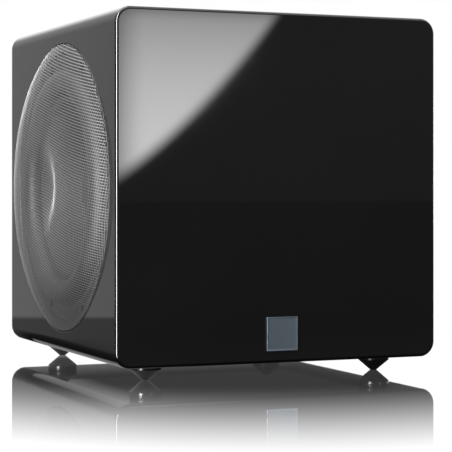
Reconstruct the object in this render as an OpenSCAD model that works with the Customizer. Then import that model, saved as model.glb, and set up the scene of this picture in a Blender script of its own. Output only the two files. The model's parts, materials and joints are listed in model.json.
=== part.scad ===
// Compact sealed powered subwoofer with two opposed 8-inch drivers.
// +Z is up, the front faces -Y, and z = 0 is the plane of the foot tips.
// The origin is the bottom centre of the whole object's box.

/* [Cabinet] */
// Width of the cabinet across its two side faces
cab_w = 266; // [250:1:330]
// Height of the cabinet without its feet
cab_h = 264.5; // [250:0.5:330]
// Depth of the cabinet from front face to rear face
cab_d = 268.5; // [255:0.5:330]
// Thickness of each side board
side_t = 18; // [16:0.5:24]
// Thickness of the top and bottom boards
top_t = 15; // [12:0.5:18]
// Thickness of the front board
front_t = 12; // [9:0.5:14]
// Thickness of the rear board
rear_t = 20; // [17:0.5:26]
// Radius of the four edges that run from front to back
edge_r = 12; // [6:0.5:15]
// Radius of the edge round the front and rear faces
face_r = 2.5; // [1:0.5:5]
// Thickness of the upright brace between the drivers
brace_t = 15; // [9:1:20]

/* [Badge] */
// Side of the square badge
badge_w = 25.5; // [12:0.5:40]
// How far the badge stands out of the front face
badge_t = 2; // [1:0.5:4]
// Height of the badge's centre above the cabinet's bottom
badge_up = 22; // [14:0.5:60]

/* [Feet] */
// Height of a foot
foot_h = 12.5; // [9:0.5:20]
// Radius of a foot at the cabinet
foot_r = 12.15; // [8:0.05:18]
// Radius of the flat tip that a foot stands on
foot_tip_r = 2.5; // [1.5:0.1:5]
// Height of a foot's conical part
foot_cone_h = 8.3; // [4:0.1:8.6]
// Distance from a side face to a foot's centre
foot_in_x = 36; // [20:1:60]
// Distance from the front or rear face to a foot's centre
foot_in_y = 34; // [20:1:60]
// Radius of the threaded stud that holds a foot
stud_r = 3; // [2:0.25:4]

/* [Grille] */
// Radius of the round opening in each side
mouth_r = 114.5; // [112:0.5:116]
// Distance from the front face to the opening's centre
mouth_back = 128.3; // [127:0.1:134]
// Depth of the step in the side board that holds driver and grille
mouth_deep = 10; // [9:0.5:12]
// Height of the grille's highest ring above the side face
bulge = 17; // [14:0.5:22]
// Radius of the grille's highest ring
bulge_r = 45; // [30:1:60]
// Height of the grille's centre above the side face
dimple_h = 8; // [5:0.5:14]
// Thickness of the grille, square to the side face
grille_t = 1.25; // [0.8:0.05:2]

/* [Driver] */
// Radius of the hole through the side board
cutout_r = 93; // [92.5:0.5:95]
// Radius of the basket's flange
flange_r = 106.5; // [105.5:0.5:107]
// Thickness of the basket's flange
flange_t = 4; // [3:0.5:5]
// Thickness of the gasket behind the flange
gasket_t = 1; // [0.5:0.25:2]
// Radius of the circle of driver screws
screw_pcd_r = 102; // [101.5:0.25:102.5]
// Number of screws in each driver
screw_count = 8; // [4:1:10]
// Radius at the middle of the surround's half roll
roll_r = 84; // [82:0.5:85]
// Mean radius of the half roll itself
roll_size = 9.5; // [8:0.5:10]
// Thickness of the rubber in the surround
roll_t = 1.6; // [1:0.1:2.4]
// Depth of the cone from its rim to its neck
cone_deep = 31.5; // [26:0.5:34]
// Thickness of the cone
cone_t = 1.6; // [1:0.1:2.5]
// Radius of the dust cap
cap_r = 32; // [28:0.5:38]
// Height of the dust cap
cap_h = 12.8; // [8:0.1:16]
// Inner radius of the voice coil's former
coil_r = 25; // [22:0.5:26]
// Length of the winding
winding_h = 26; // [20:1:30]
// Furthest travel of the cone each way
travel = 11; // [6:0.5:12]
// Outer radius of the magnet
magnet_r = 60; // [54:0.5:62]
// Thickness of the magnet
magnet_t = 28; // [24:0.5:34]
// Thickness of the plates in front of and behind the magnet
plate_t = 8; // [6:0.5:10]

/* [Amplifier] */
// Width of the amplifier's panel
amp_w = 206; // [200:1:216]
// Height of the amplifier's panel
amp_h = 216; // [208:1:220]
// Thickness of the panel
amp_t = 3; // [2:0.25:4]
// How deep the panel lies behind the cabinet's rear face
amp_recess = 7.5; // [5:0.5:8]
// Width of the ledge that the panel is screwed to
ledge_w = 10; // [8:0.5:13]
// Thickness of the seal under the panel
seal_t = 1.5; // [1:0.25:2]
// How far the phono sockets stand out of the panel
phono_out = 9; // [8.5:0.1:10]
// Radius of a phono socket's barrel
phono_r = 4.15; // [4.1:0.01:4.2]
// Radius of a control button
button_r = 5; // [3.5:0.25:6]
// Distance between two buttons
button_step = 25; // [18:1:28]
// How far a button can be pressed
button_travel = 0.8; // [0.4:0.1:1.2]
// Angle between the two positions of the power rocker
rocker_swing = 16; // [10:1:20]
// How far the fuse drawer pulls out
drawer_travel = 12; // [6:1:14]

/* [Hidden] */
$fn = 96;

// general clearances
slip = 0.15;        // round a piece that slides in a hole
loose = 0.5;        // round a piece that drops into an opening
hinge_gap = 0.05;   // round a trunnion in its bore

// cabinet faces
rear_proud = phono_out - amp_recess;
total_d = cab_d + badge_t + rear_proud;
front_y = -total_d / 2 + badge_t;
rear_y = front_y + cab_d;
bottom_z = foot_h;
top_z = bottom_z + cab_h;
mid_z = bottom_z + cab_h / 2;
inner_front = front_y + front_t;
inner_rear = rear_y - rear_t;
inner_x = cab_w / 2 - side_t;
inner_low = bottom_z + top_t;
inner_high = top_z - top_t;
inner_d = inner_rear - inner_front;

// feet
foot_x = cab_w / 2 - foot_in_x;
foot_front_y = front_y + foot_in_y;
foot_rear_y = rear_y - foot_in_y;
stud_in_foot = 4;
stud_in_board = top_t - 3;

// opening and grille, with depth counted inwards from the side face
mouth_y = front_y + mouth_back;
grille_r = mouth_r - loose;
grille_rim_t = 1;
ring_r0 = flange_r + 1;
ring_top = 1;
grille_steps = 36;

// driver: depths inwards from the side face
flange_u = mouth_deep - gasket_t - flange_t;
collar_r = cutout_r - 1;
collar_t = 3.5;
collar_u = mouth_deep + 10;
lip_t = 1.2;
lip_w = 5;
lip_r0 = roll_r - roll_size - roll_t / 2 - lip_w;
cone_rim_w = 4;
cone_r = lip_r0 + 0.5;
former_t = 0.4;
former_r = coil_r + former_t;
winding_t = 1.2;
neck_u = flange_u + cone_deep;
spider_u = neck_u + 14.9;
spider_t = 0.8;
spider_r = 62;
spider_wave = 1.5;
spider_lip = 8;
ledge_r0 = spider_r - spider_lip + 1;
ledge_r1 = spider_r + 4;
ledge_t = 4;
base_t = 4.5;
plate_u = spider_u + spider_t + 14.8;
base_u = plate_u - base_t;
plate_r = magnet_r - 4;
gap_r = former_r + winding_t + 1;
pole_r = coil_r - 1;
vent_r = 8;
magnet_u = plate_u + plate_t;
yoke_u = magnet_u + magnet_t;
winding_u = plate_u + plate_t / 2 - winding_h / 2;
former_u0 = neck_u - 1;
former_u1 = winding_u + winding_h + 0.5;
spoke_w = 10;
spokes = 6;
terminal_r = ledge_r1 + 8;
terminal_w = 12;
screw_head_r = 3.6;
screw_head_h = 2.2;
screw_r = 2;
screw_l = flange_t + gasket_t + side_t - mouth_deep - 1;

// amplifier: places across (x) and up (z)
plate_y = rear_y - amp_recess;
amp_in = plate_y - amp_t;
seal_in = amp_in - seal_t;
amp_corner = 4;
hole_w = amp_w - 2 * ledge_w;
hole_h = amp_h - 2 * ledge_w;
panel_screw_r = 1.75;
board_gap = 14;
board_t = 1.6;
board_y = amp_in - board_gap;
board_w = 170;
board_down = 20;    // from the panel's upper edge
board_up = 64;      // from the panel's lower edge
board_h = amp_h - board_down - board_up;
board_z = mid_z + amp_h / 2 - board_down - board_h / 2;
post_r = 3;
fascia_w = 156;
fascia_h = 40;
fascia_t = 1.2;
fascia_z = mid_z + amp_h / 2 - 40;
button_z = fascia_z - 6;
light_z = fascia_z + 11;
light_r = 1.3;
light_step = 9;
light_count = 9;
tact_h = 4;
tact_w = 6;
button_out = 1.6;
phono_x = [-68, -46];
phono_z = [fascia_z - 52, fascia_z - 74];
phono_in_r = 3.35;
phono_pin_r = 1.65;
phono_nut_r = 6.4;
phono_nut_t = 1.6;
trigger_x = -18;
trigger_z = fascia_z - 63;
trigger_r = 4;
trigger_bore = 1.8;
trigger_out = 3;
trigger_deep = 14;
low_z = mid_z - amp_h / 2 + 28;
inlet_x = 60;
inlet_w = 52;
inlet_h = 33;
inlet_t = 2.5;
inlet_body_w = 31;
inlet_body_h = 30;
inlet_deep = 24;
socket_w = 24.4;
socket_h = 16.6;
socket_cut = 4.5;
socket_deep = 19;
socket_up = 4.4;
blade_w = 2;
blade_h = 4;
blade_back = 5;
drawer_w = 20;
drawer_h = 5;
drawer_down = 10.2;
drawer_face_t = 1.2;
switch_x = 16;
switch_w = 21;
switch_h = 30;
switch_t = 2;
switch_body_w = 19;
switch_body_h = 26;
switch_deep = 15;
rocker_w = 12.4;
rocker_r = 10.4;
rocker_face = 2.4;
rocker_slope = 4;
trunnion_r = 1.2;
trunnion_l = 0.8;
sink_x = -50;
sink_w = 84;
sink_h = 34;
sink_base = 4;
fin_t = 2.5;
fins = 9;
lead_r = 2;
lead_bend = 5.5;
lead_x = 56;

// ---- shapes used by more than one piece ----

// a flat shape drawn across (x) and up (z), with its thickness from y0 to y0 + t
module upright(y0, t) {
    translate([0, y0 + t, 0]) rotate([90, 0, 0]) linear_extrude(t) children();
}

// a round bar along Y
module bar_y(x, z, y0, len, r) {
    translate([x, y0 + len, z]) rotate([90, 0, 0]) cylinder(h = len, r = r);
}

// a quarter of a round post, whose flat faces meet its neighbours
module quarter_post(x, y, r, h, start) {
    translate([x, y, 0]) rotate([0, 0, start]) rotate_extrude(angle = 90) square([r, h]);
}

// a slab with round corners, lying on z = 0
module slab(w, h, t, r) {
    translate([-w / 2 + r, -h / 2, 0]) cube([w - 2 * r, h, t]);
    translate([-w / 2, -h / 2 + r, 0]) cube([w, h - 2 * r, t]);
    for (i = [0 : 3]) {
        sx = (i == 0 || i == 3) ? 1 : -1;
        sy = (i < 2) ? 1 : -1;
        quarter_post(sx * (w / 2 - r), sy * (h / 2 - r), r, t, i * 90);
    }
}

// a slab with round corners whose upper edge is a quarter round of radius f
module soft_slab(w, h, t, r, f) {
    slab(w, h, t - f, r);
    translate([0, 0, t - f]) {
        translate([-w / 2 + r, -h / 2 + f, 0]) cube([w - 2 * r, h - 2 * f, f]);
        translate([-w / 2 + f, -h / 2 + r, 0]) cube([w - 2 * f, h - 2 * r, f]);
        for (s = [0 : 1]) {
            rotate([0, 0, 180 * s]) translate([-w / 2 + r, h / 2 - f, 0]) rotate([90, 0, 90])
                linear_extrude(w - 2 * r) quarter_disc(f);
            rotate([0, 0, 180 * s]) translate([w / 2 - f, h / 2 - r, 0]) rotate([90, 0, 0])
                linear_extrude(h - 2 * r) quarter_disc(f);
        }
        for (i = [0 : 3]) {
            sx = (i == 0 || i == 3) ? 1 : -1;
            sy = (i < 2) ? 1 : -1;
            translate([sx * (w / 2 - r), sy * (h / 2 - r), 0]) rotate([0, 0, i * 90])
                rotate_extrude(angle = 90) {
                    square([r - f, f]);
                    translate([r - f, 0]) quarter_disc(f);
                }
        }
    }
}

// a quarter of a disc in the corner between +x and +y
module quarter_disc(r) {
    intersection() {
        circle(r = r);
        square([r + 1, r + 1]);
    }
}

// puts a piece drawn with +z pointing outwards on one side; side is -1 for left
module on_side(side) {
    translate([side * cab_w / 2, mouth_y, mid_z]) rotate([0, side * 90, 0]) children();
}

// turns an outline of [radius, depth inwards] round the driver's axis
module turned(side, outline) {
    on_side(side) rotate_extrude() polygon([for (p = outline) [p[0], -p[1]]]);
}

// a flat ring at a depth inwards
module ring(side, r0, r1, u0, u1) {
    turned(side, [[r0, u0], [r1, u0], [r1, u1], [r0, u1]]);
}

// ---- cabinet ----

module top_panel() {
    color("black") translate([-inner_x, inner_front, inner_high])
        cube([2 * inner_x, inner_d, top_t]);
}

module bottom_panel() {
    color("black") difference() {
        translate([-inner_x, inner_front, bottom_z]) cube([2 * inner_x, inner_d, top_t]);
        foot_places() translate([0, 0, bottom_z - 1]) cylinder(h = stud_in_board + 1, r = stud_r);
    }
}

// a side board, with the two outer edges round and the stepped driver opening
module side_panel(side) {
    low = -cab_h / 2;
    inner_w = side_t - edge_r;
    color("black") difference() {
        translate([0, inner_rear, mid_z]) rotate([90, 0, 0]) mirror([side < 0 ? 1 : 0, 0, 0]) {
            translate([inner_x, low + edge_r, 0]) cube([side_t, cab_h - 2 * edge_r, inner_d]);
            for (s = [-1, 1])
                translate([inner_x, s < 0 ? low : -low - edge_r, 0])
                    cube([inner_w, edge_r, inner_d]);
            quarter_post(inner_x + inner_w, -low - edge_r, edge_r, inner_d, 0);
            quarter_post(inner_x + inner_w, low + edge_r, edge_r, inner_d, 270);
        }
        on_side(side) {
            translate([0, 0, -mouth_deep]) cylinder(h = mouth_deep + 1, r = mouth_r);
            translate([0, 0, -side_t - 1]) cylinder(h = side_t, r = cutout_r);
            screw_places() translate([0, 0, -side_t + 1]) cylinder(h = side_t, r = screw_r);
        }
    }
}

module left_side_panel() { side_panel(-1); }
module right_side_panel() { side_panel(1); }

module front_panel() {
    color("black") translate([0, inner_front, mid_z]) rotate([90, 0, 0])
        soft_slab(cab_w, cab_h, front_t, edge_r, face_r);
}

module rear_panel() {
    color("black") difference() {
        translate([0, inner_rear, mid_z]) rotate([-90, 0, 0])
            soft_slab(cab_w, cab_h, rear_t, edge_r, face_r);
        translate([0, seal_in, mid_z]) rotate([-90, 0, 0])
            slab(amp_w + 2 * loose, amp_h + 2 * loose, rear_t, amp_corner + loose);
        translate([0, inner_rear - 1, mid_z]) rotate([-90, 0, 0])
            slab(hole_w, hole_h, rear_t, amp_corner);
        panel_screw_places() bar_y(0, 0, inner_rear + 1, rear_t, panel_screw_r);
    }
}

// windowed board between front and amplifier, midway between the drivers
module internal_brace() {
    back = inner_rear - 26;
    color("tan") difference() {
        translate([-brace_t / 2, inner_front, inner_low])
            cube([brace_t, back - inner_front, inner_high - inner_low]);
        translate([-brace_t, mouth_y, mid_z]) rotate([0, 90, 0])
            cylinder(h = 2 * brace_t, r = 52);
        for (sy = [-1, 1], sz = [-1, 1])
            translate([-brace_t, mouth_y + sy * 70, mid_z + sz * 78]) rotate([0, 90, 0])
                cylinder(h = 2 * brace_t, r = 22);
    }
}

// a blank square plate with sloping sides
module badge_plate() {
    slope = badge_t / 2;
    half = badge_w / 2;
    edge = [[-half, 0], [half, 0], [half, badge_t - slope], [half - slope, badge_t],
            [-half + slope, badge_t], [-half, badge_t - slope]];
    color("slategray") translate([0, front_y, bottom_z + badge_up]) rotate([90, 0, 0])
        intersection() {
            translate([0, half, 0]) rotate([90, 0, 0]) linear_extrude(badge_w) polygon(edge);
            translate([half, 0, 0]) rotate([90, 0, -90]) linear_extrude(badge_w) polygon(edge);
        }
}

// ---- feet ----

module foot_places() {
    for (x = [-foot_x, foot_x], y = [foot_front_y, foot_rear_y]) translate([x, y, 0]) children();
}

module foot(x, y) {
    color("#202020") translate([x, y, 0]) difference() {
        rotate_extrude() polygon([
            [0, 0], [foot_tip_r, 0], [foot_r, foot_cone_h], [foot_r, foot_h - 0.6],
            [foot_r - 0.6, foot_h], [0, foot_h]
        ]);
        translate([0, 0, foot_h - stud_in_foot]) cylinder(h = stud_in_foot + 1, r = stud_r);
    }
}

module foot_front_left() { foot(-foot_x, foot_front_y); }
module foot_front_right() { foot(foot_x, foot_front_y); }
module foot_rear_left() { foot(-foot_x, foot_rear_y); }
module foot_rear_right() { foot(foot_x, foot_rear_y); }

module foot_studs() {
    color("silver") foot_places() translate([0, 0, foot_h - stud_in_foot])
        cylinder(h = stud_in_foot + stud_in_board, r = stud_r);
}

// ---- drivers ----

module screw_places() {
    for (i = [0 : screw_count - 1])
        rotate([0, 0, (i + 0.5) * 360 / screw_count]) translate([screw_pcd_r, 0, 0]) children();
}

module basket(side) {
    color("#303030") difference() {
        union() {
            turned(side, [
                [collar_r - collar_t, flange_u + 2], [collar_r - 2, flange_u],
                [flange_r, flange_u], [flange_r, flange_u + flange_t],
                [collar_r, flange_u + flange_t], [collar_r, collar_u],
                [collar_r - collar_t, collar_u]
            ]);
            ring(side, ledge_r0, ledge_r1, spider_u + spider_t, spider_u + spider_t + ledge_t);
            ring(side, plate_r - 12, ledge_r1, base_u, plate_u);
            on_side(side) for (i = [0 : spokes - 1])
                rotate([0, 0, (i + 0.5) * 360 / spokes]) spoke();
            on_side(side) translate([-terminal_w / 2, 0, -spider_u - spider_t - ledge_t])
                translate([0, ledge_r0 + 3, 0]) cube([terminal_w, terminal_r - ledge_r0 - 3, ledge_t]);
        }
        on_side(side) screw_places() translate([0, 0, -flange_u - flange_t - 1])
            cylinder(h = flange_t + 2, r = screw_r);
    }
}

// one sloping arm of the basket
module spoke() {
    outer = collar_r - 0.5;
    rotate([90, 0, 0]) translate([0, 0, -spoke_w / 2]) linear_extrude(spoke_w) polygon([
        [outer, -collar_u + 6], [outer, -collar_u], [ledge_r1 - 0.5, -base_u + 6],
        [ledge_r1 - 0.5, -plate_u + 0.2], [ledge_r0 + 3, -plate_u + 0.2],
        [ledge_r0 + 3, -spider_u - spider_t - 0.2], [spider_r + 1, -spider_u - spider_t - 0.2],
        [spider_r + 1, -spider_u + 1], [outer - 6, -collar_u + 6]
    ]);
}

module gasket(side) {
    color("#101010") difference() {
        ring(side, cutout_r + 0.5, flange_r, mouth_deep - gasket_t, mouth_deep);
        on_side(side) screw_places() translate([0, 0, -mouth_deep - 1])
            cylinder(h = gasket_t + 2, r = screw_r);
    }
}

// rubber half roll with a flat lip inside and outside
module surround(side) {
    outer = roll_size + roll_t / 2;
    inner = roll_size - roll_t / 2;
    color("#181818") on_side(side) rotate_extrude() translate([0, -flange_u]) {
        translate([roll_r, 0]) intersection() {
            difference() {
                circle(r = outer);
                circle(r = inner);
            }
            translate([-outer - 1, 0]) square([2 * outer + 2, outer + 1]);
        }
        translate([lip_r0, 0]) square([lip_w + 0.4, lip_t]);
        translate([roll_r + outer - 0.4, 0]) square([lip_w - 1, lip_t]);
    }
}

// radius and depth on the front of the cone, f from 0 at the rim to 1 at the neck
function cone_at(f) = [cone_r + f * (former_r + 1.6 - cone_r), flange_u + f * cone_deep];

module cone(side) {
    color("#282828") turned(side, [
        [cone_r + cone_rim_w, flange_u], cone_at(0), cone_at(1), [former_r, neck_u],
        [former_r, neck_u + 3], [former_r + 0.8, neck_u + 3],
        [cone_r + 1.1, flange_u + cone_t], [cone_r + cone_rim_w, flange_u + cone_t]
    ]);
}

// a domed cap whose edge follows the cone
module dust_cap(side) {
    f = (cone_r - cap_r) / (cone_r - former_r - 1.6);
    edge_u = cone_at(f)[1];
    ball_r = (cap_r * cap_r + cap_h * cap_h) / (2 * cap_h);
    color("#202020") on_side(side) rotate_extrude() difference() {
        translate([0, -edge_u + cap_h - ball_r]) intersection() {
            difference() {
                circle(r = ball_r);
                circle(r = ball_r - 1);
            }
            translate([0, ball_r - cap_h - 1]) square([cap_r + 1, cap_h + 2]);
        }
        polygon([
            [cone_at(0)[0], -cone_at(0)[1]], [cone_at(1)[0], -cone_at(1)[1]],
            [0, -cone_at(1)[1]], [0, -cone_at(1)[1] - 20], [cone_at(0)[0], -cone_at(1)[1] - 20]
        ]);
    }
}

module voice_coil(side) {
    color("peru") turned(side, [
        [coil_r, former_u0], [former_r, former_u0], [former_r, winding_u],
        [former_r + winding_t, winding_u], [former_r + winding_t, winding_u + winding_h],
        [former_r, winding_u + winding_h], [former_r, former_u1], [coil_r, former_u1]
    ]);
}

// height of the spider's waves at radius r
function spider_rise(r) =
    spider_wave * sin((r - former_r - 3) / (spider_r - spider_lip - former_r - 3) * 4 * 360);

module spider(side) {
    r0 = former_r + 3;
    r1 = spider_r - spider_lip;
    waves = [for (i = [0 : 32]) r0 + i * (r1 - r0) / 32];
    upper = [for (r = waves) [r, spider_u - spider_rise(r)]];
    lower = [for (i = [32 : -1 : 0]) [waves[i], spider_u + spider_t - spider_rise(waves[i])]];
    color("goldenrod") turned(side, concat(
        [[former_r + 0.3, spider_u]], upper, [[spider_r, spider_u], [spider_r, spider_u + spider_t]],
        lower, [[former_r + 0.3, spider_u + spider_t]]
    ));
}

module top_plate(side) {
    color("dimgray") ring(side, gap_r, plate_r, plate_u, magnet_u);
}

module magnet(side) {
    color("#3a3a3a") ring(side, pole_r + 9, magnet_r, magnet_u, yoke_u);
}

module yoke(side) {
    color("dimgray") turned(side, [
        [vent_r, plate_u - 0.5], [pole_r, plate_u - 0.5], [pole_r, yoke_u], [plate_r, yoke_u],
        [plate_r, yoke_u + plate_t], [vent_r, yoke_u + plate_t]
    ]);
}

module left_basket() { basket(-1); }
module left_gasket() { gasket(-1); }
module left_surround() { surround(-1); }
module left_cone() { cone(-1); }
module left_dust_cap() { dust_cap(-1); }
module left_voice_coil() { voice_coil(-1); }
module left_spider() { spider(-1); }
module left_top_plate() { top_plate(-1); }
module left_magnet() { magnet(-1); }
module left_yoke() { yoke(-1); }
module right_basket() { basket(1); }
module right_gasket() { gasket(1); }
module right_surround() { surround(1); }
module right_cone() { cone(1); }
module right_dust_cap() { dust_cap(1); }
module right_voice_coil() { voice_coil(1); }
module right_spider() { spider(1); }
module right_top_plate() { top_plate(1); }
module right_magnet() { magnet(1); }
module right_yoke() { yoke(1); }

module driver_screws() {
    color("#202020") for (side = [-1, 1]) on_side(side) screw_places() {
        translate([0, 0, -flange_u]) cylinder(h = screw_head_h, r = screw_head_r);
        translate([0, 0, -flange_u - screw_l]) cylinder(h = screw_l + 0.1, r = screw_r);
    }
}

// ---- grilles ----

// height of the grille above the side face at radius r
function grille_rise(r) = r > bulge_r
    ? bulge * (1 - pow((r - bulge_r) / (mouth_r - bulge_r), 3))
    : dimple_h + (bulge - dimple_h) * (1 - cos(180 * r / bulge_r)) / 2;

module grille(side) {
    reach = grille_r - grille_rim_t;
    outer = [for (i = [0 : grille_steps]) let(r = grille_r * i / grille_steps) [r, -grille_rise(r)]];
    inner = [
        for (i = [grille_steps : -1 : 0])
            let(r = reach * i / grille_steps) [r, grille_t - grille_rise(r)]
    ];
    color("gray") turned(side, concat(outer, [[grille_r, ring_top], [reach, ring_top]], inner));
}

module grille_ring(side) {
    color("#101010") ring(side, ring_r0, grille_r, ring_top, mouth_deep);
}

module left_grille() { grille(-1); }
module left_grille_ring() { grille_ring(-1); }
module right_grille() { grille(1); }
module right_grille_ring() { grille_ring(1); }

// ---- amplifier ----

module panel_screw_places() {
    dx = amp_w / 2 - ledge_w / 2;
    dz = amp_h / 2 - ledge_w / 2;
    for (sx = [-1, 0, 1], sz = [-1, 1]) translate([sx * dx, 0, mid_z + sz * dz]) children();
    for (sx = [-1, 1], sz = [-1, 1]) translate([sx * dx, 0, mid_z + sz * dz / 3]) children();
}

module button_places() {
    for (i = [0 : 4]) translate([(i - 2) * button_step, 0, button_z]) children();
}

module light_places() {
    for (i = [0 : light_count - 1])
        translate([(i - (light_count - 1) / 2) * light_step, 0, light_z]) children();
}

module phono_places() {
    for (x = phono_x, z = phono_z) translate([x, 0, z]) children();
}

module inlet_screw_places() {
    for (s = [-1, 1]) translate([inlet_x + s * 20.5, 0, low_z]) children();
}

module post_places() {
    for (sx = [-1, 1], sz = [-1, 1])
        translate([sx * (board_w / 2 - 6), 0, board_z + sz * (board_h / 2 - 6)]) children();
}

// holes shared by the panel and the fascia on it
module control_holes(y0, t) {
    button_places() bar_y(0, 0, y0, t, button_r + slip);
    light_places() bar_y(0, 0, y0, t, light_r + hinge_gap);
}

module amp_panel() {
    color("#1c1c1c") difference() {
        union() {
            translate([0, amp_in, mid_z]) rotate([-90, 0, 0]) slab(amp_w, amp_h, amp_t, amp_corner);
            post_places() bar_y(0, 0, board_y, board_gap + 0.1, post_r);
        }
        control_holes(amp_in - 1, amp_t + 2);
        panel_screw_places() bar_y(0, 0, amp_in - 1, amp_t + 2, panel_screw_r);
        phono_places() bar_y(0, 0, amp_in - 1, amp_t + 2, phono_r);
        bar_y(trigger_x, trigger_z, amp_in - 1, amp_t + 2, trigger_r);
        upright(amp_in - 1, amp_t + 2) translate([inlet_x, low_z])
            square([inlet_body_w + 2 * slip, inlet_body_h + 2 * slip], center = true);
        upright(amp_in - 1, amp_t + 2) translate([switch_x, low_z])
            square([switch_body_w + 2 * slip, switch_body_h + 2 * slip], center = true);
        inlet_screw_places() bar_y(0, 0, amp_in - 1, amp_t + 2, 1.6);
    }
}

module amp_seal() {
    color("#101010") difference() {
        translate([0, seal_in, mid_z]) rotate([-90, 0, 0]) slab(amp_w, amp_h, seal_t, amp_corner);
        translate([0, seal_in - 1, mid_z]) rotate([-90, 0, 0])
            slab(hole_w, hole_h, seal_t + 2, amp_corner);
        panel_screw_places() bar_y(0, 0, seal_in - 1, seal_t + 2, panel_screw_r);
    }
}

// pan-head screws round the panel and the two smaller ones of the mains inlet
module panel_screws() {
    color("#303030") {
        panel_screw_places() {
            bar_y(0, 0, inner_rear + 1, plate_y - inner_rear - 1, panel_screw_r);
            bar_y(0, 0, plate_y, 2, 3.2);
        }
        inlet_screw_places() {
            bar_y(0, 0, amp_in - 3, plate_y + inlet_t - amp_in + 3, 1.6);
            bar_y(0, 0, plate_y + inlet_t, 1.2, 2.6);
        }
    }
}

// finned block on the inside of the panel
module heat_sink() {
    step = (sink_w - fin_t) / (fins - 1);
    color("silver") translate([sink_x - sink_w / 2, 0, low_z - sink_h / 2]) {
        translate([0, amp_in - sink_base, 0]) cube([sink_w, sink_base, sink_h]);
        for (i = [0 : fins - 1])
            translate([i * step, amp_in - board_gap - 4, 0])
                cube([fin_t, board_gap + 4 - sink_base, sink_h]);
    }
}

module circuit_board() {
    color("darkgreen") upright(board_y - board_t, board_t) translate([0, board_z])
        square([board_w, board_h], center = true);
}

// key switches under the buttons, and the larger parts of the amplifier
module board_parts() {
    back = board_y - board_t;
    color("#404048") {
        button_places() upright(board_y, tact_h) square(tact_w, center = true);
        translate([0, back, board_z - 8]) rotate([90, 0, 0]) rotate_extrude()
            translate([8, 0]) square([17, 16]);
        for (x = [-62, -38, 40, 64]) bar_y(x, board_z + board_h / 2 - 26, back - 18, 18, 9);
        for (x = [-60, 60]) upright(back - 12, 12) translate([x, board_z - 34])
            square([26, 18], center = true);
    }
}

// two leads, each with a double bend, from the board to the terminals on the baskets
module speaker_leads() {
    u = spider_u + spider_t + ledge_t / 2;
    side_x = cab_w / 2 - u;
    end_y = mouth_y + terminal_r;
    bend_y = end_y + 6;
    run_y = bend_y + lead_bend;
    last_y = run_y + lead_bend;
    back = board_y - board_t;
    color("firebrick") for (side = [-1, 1]) mirror([side < 0 ? 1 : 0, 0, 0]) {
        bar_y(side_x, mid_z, end_y, bend_y - end_y, lead_r);
        translate([side_x - lead_bend, bend_y, mid_z])
            rotate_extrude(angle = 90) translate([lead_bend, 0]) circle(r = lead_r);
        translate([lead_x + lead_bend, run_y, mid_z]) rotate([0, 90, 0])
            cylinder(h = side_x - lead_x - 2 * lead_bend, r = lead_r);
        translate([lead_x + lead_bend, last_y, mid_z]) rotate([0, 0, 180])
            rotate_extrude(angle = 90) translate([lead_bend, 0]) circle(r = lead_r);
        bar_y(lead_x, mid_z, last_y, back - last_y, lead_r);
    }
}

module control_fascia() {
    color("#0c0c0c") difference() {
        translate([0, plate_y, fascia_z]) rotate([-90, 0, 0]) slab(fascia_w, fascia_h, fascia_t, 6);
        control_holes(plate_y - 1, fascia_t + 2);
    }
}

// a round cap with a stop collar behind the panel and a stem to its key switch
module button(i) {
    x = (i - 3) * button_step;
    cap_top = plate_y + fascia_t + button_out;
    collar = amp_in - 1.5;
    stem = board_y + tact_h + button_travel + 0.1;
    color("#707070") {
        bar_y(x, button_z, collar, cap_top - 0.5 - collar, button_r);
        translate([x, cap_top, button_z]) rotate([90, 0, 0])
            cylinder(h = 0.5, r1 = button_r - 0.5, r2 = button_r);
        bar_y(x, button_z, collar, 1.4, button_r + 1);
        bar_y(x, button_z, stem, collar - stem + 0.1, 2);
    }
}

module button_1() { button(1); }
module button_2() { button(2); }
module button_3() { button(3); }
module button_4() { button(4); }
module button_5() { button(5); }

module status_lights() {
    color("deepskyblue") light_places() bar_y(0, 0, amp_in - 4, amp_t + fascia_t + 4.2, light_r);
}

module phono_barrels() {
    color("goldenrod") phono_places() difference() {
        union() {
            bar_y(0, 0, board_y + 2, phono_out + plate_y - board_y - 2, phono_r);
            translate([0, plate_y + phono_nut_t, 0]) rotate([90, 0, 0])
                cylinder(h = phono_nut_t, r = phono_nut_r, $fn = 6);
        }
        bar_y(0, 0, board_y, plate_y + phono_out, phono_in_r);
    }
}

module phono_insulators() {
    color("firebrick") phono_places() difference() {
        bar_y(0, 0, board_y + 2, phono_out + plate_y - board_y - 3, phono_in_r);
        bar_y(0, 0, plate_y - 4, phono_out + 5, phono_pin_r);
    }
}

module trigger_socket() {
    color("#202020") difference() {
        union() {
            bar_y(trigger_x, trigger_z, amp_in - 0.1, amp_t + trigger_out + 0.1, trigger_r);
            translate([trigger_x, plate_y + 2, trigger_z]) rotate([90, 0, 0])
                cylinder(h = 2, r = 5.8, $fn = 6);
            upright(board_y + 0.5, board_gap - 0.5) translate([trigger_x, trigger_z])
                square([11, 9], center = true);
        }
        bar_y(trigger_x, trigger_z, plate_y + trigger_out - trigger_deep, trigger_deep + 1, trigger_bore);
    }
}

// outline of the mains connector's socket, with its two cut corners
module socket_outline(w, h, cut) {
    polygon([
        [-w / 2, -h / 2], [w / 2, -h / 2], [w / 2, h / 2 - cut], [w / 2 - cut, h / 2],
        [-w / 2 + cut, h / 2], [-w / 2, h / 2 - cut]
    ]);
}

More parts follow.
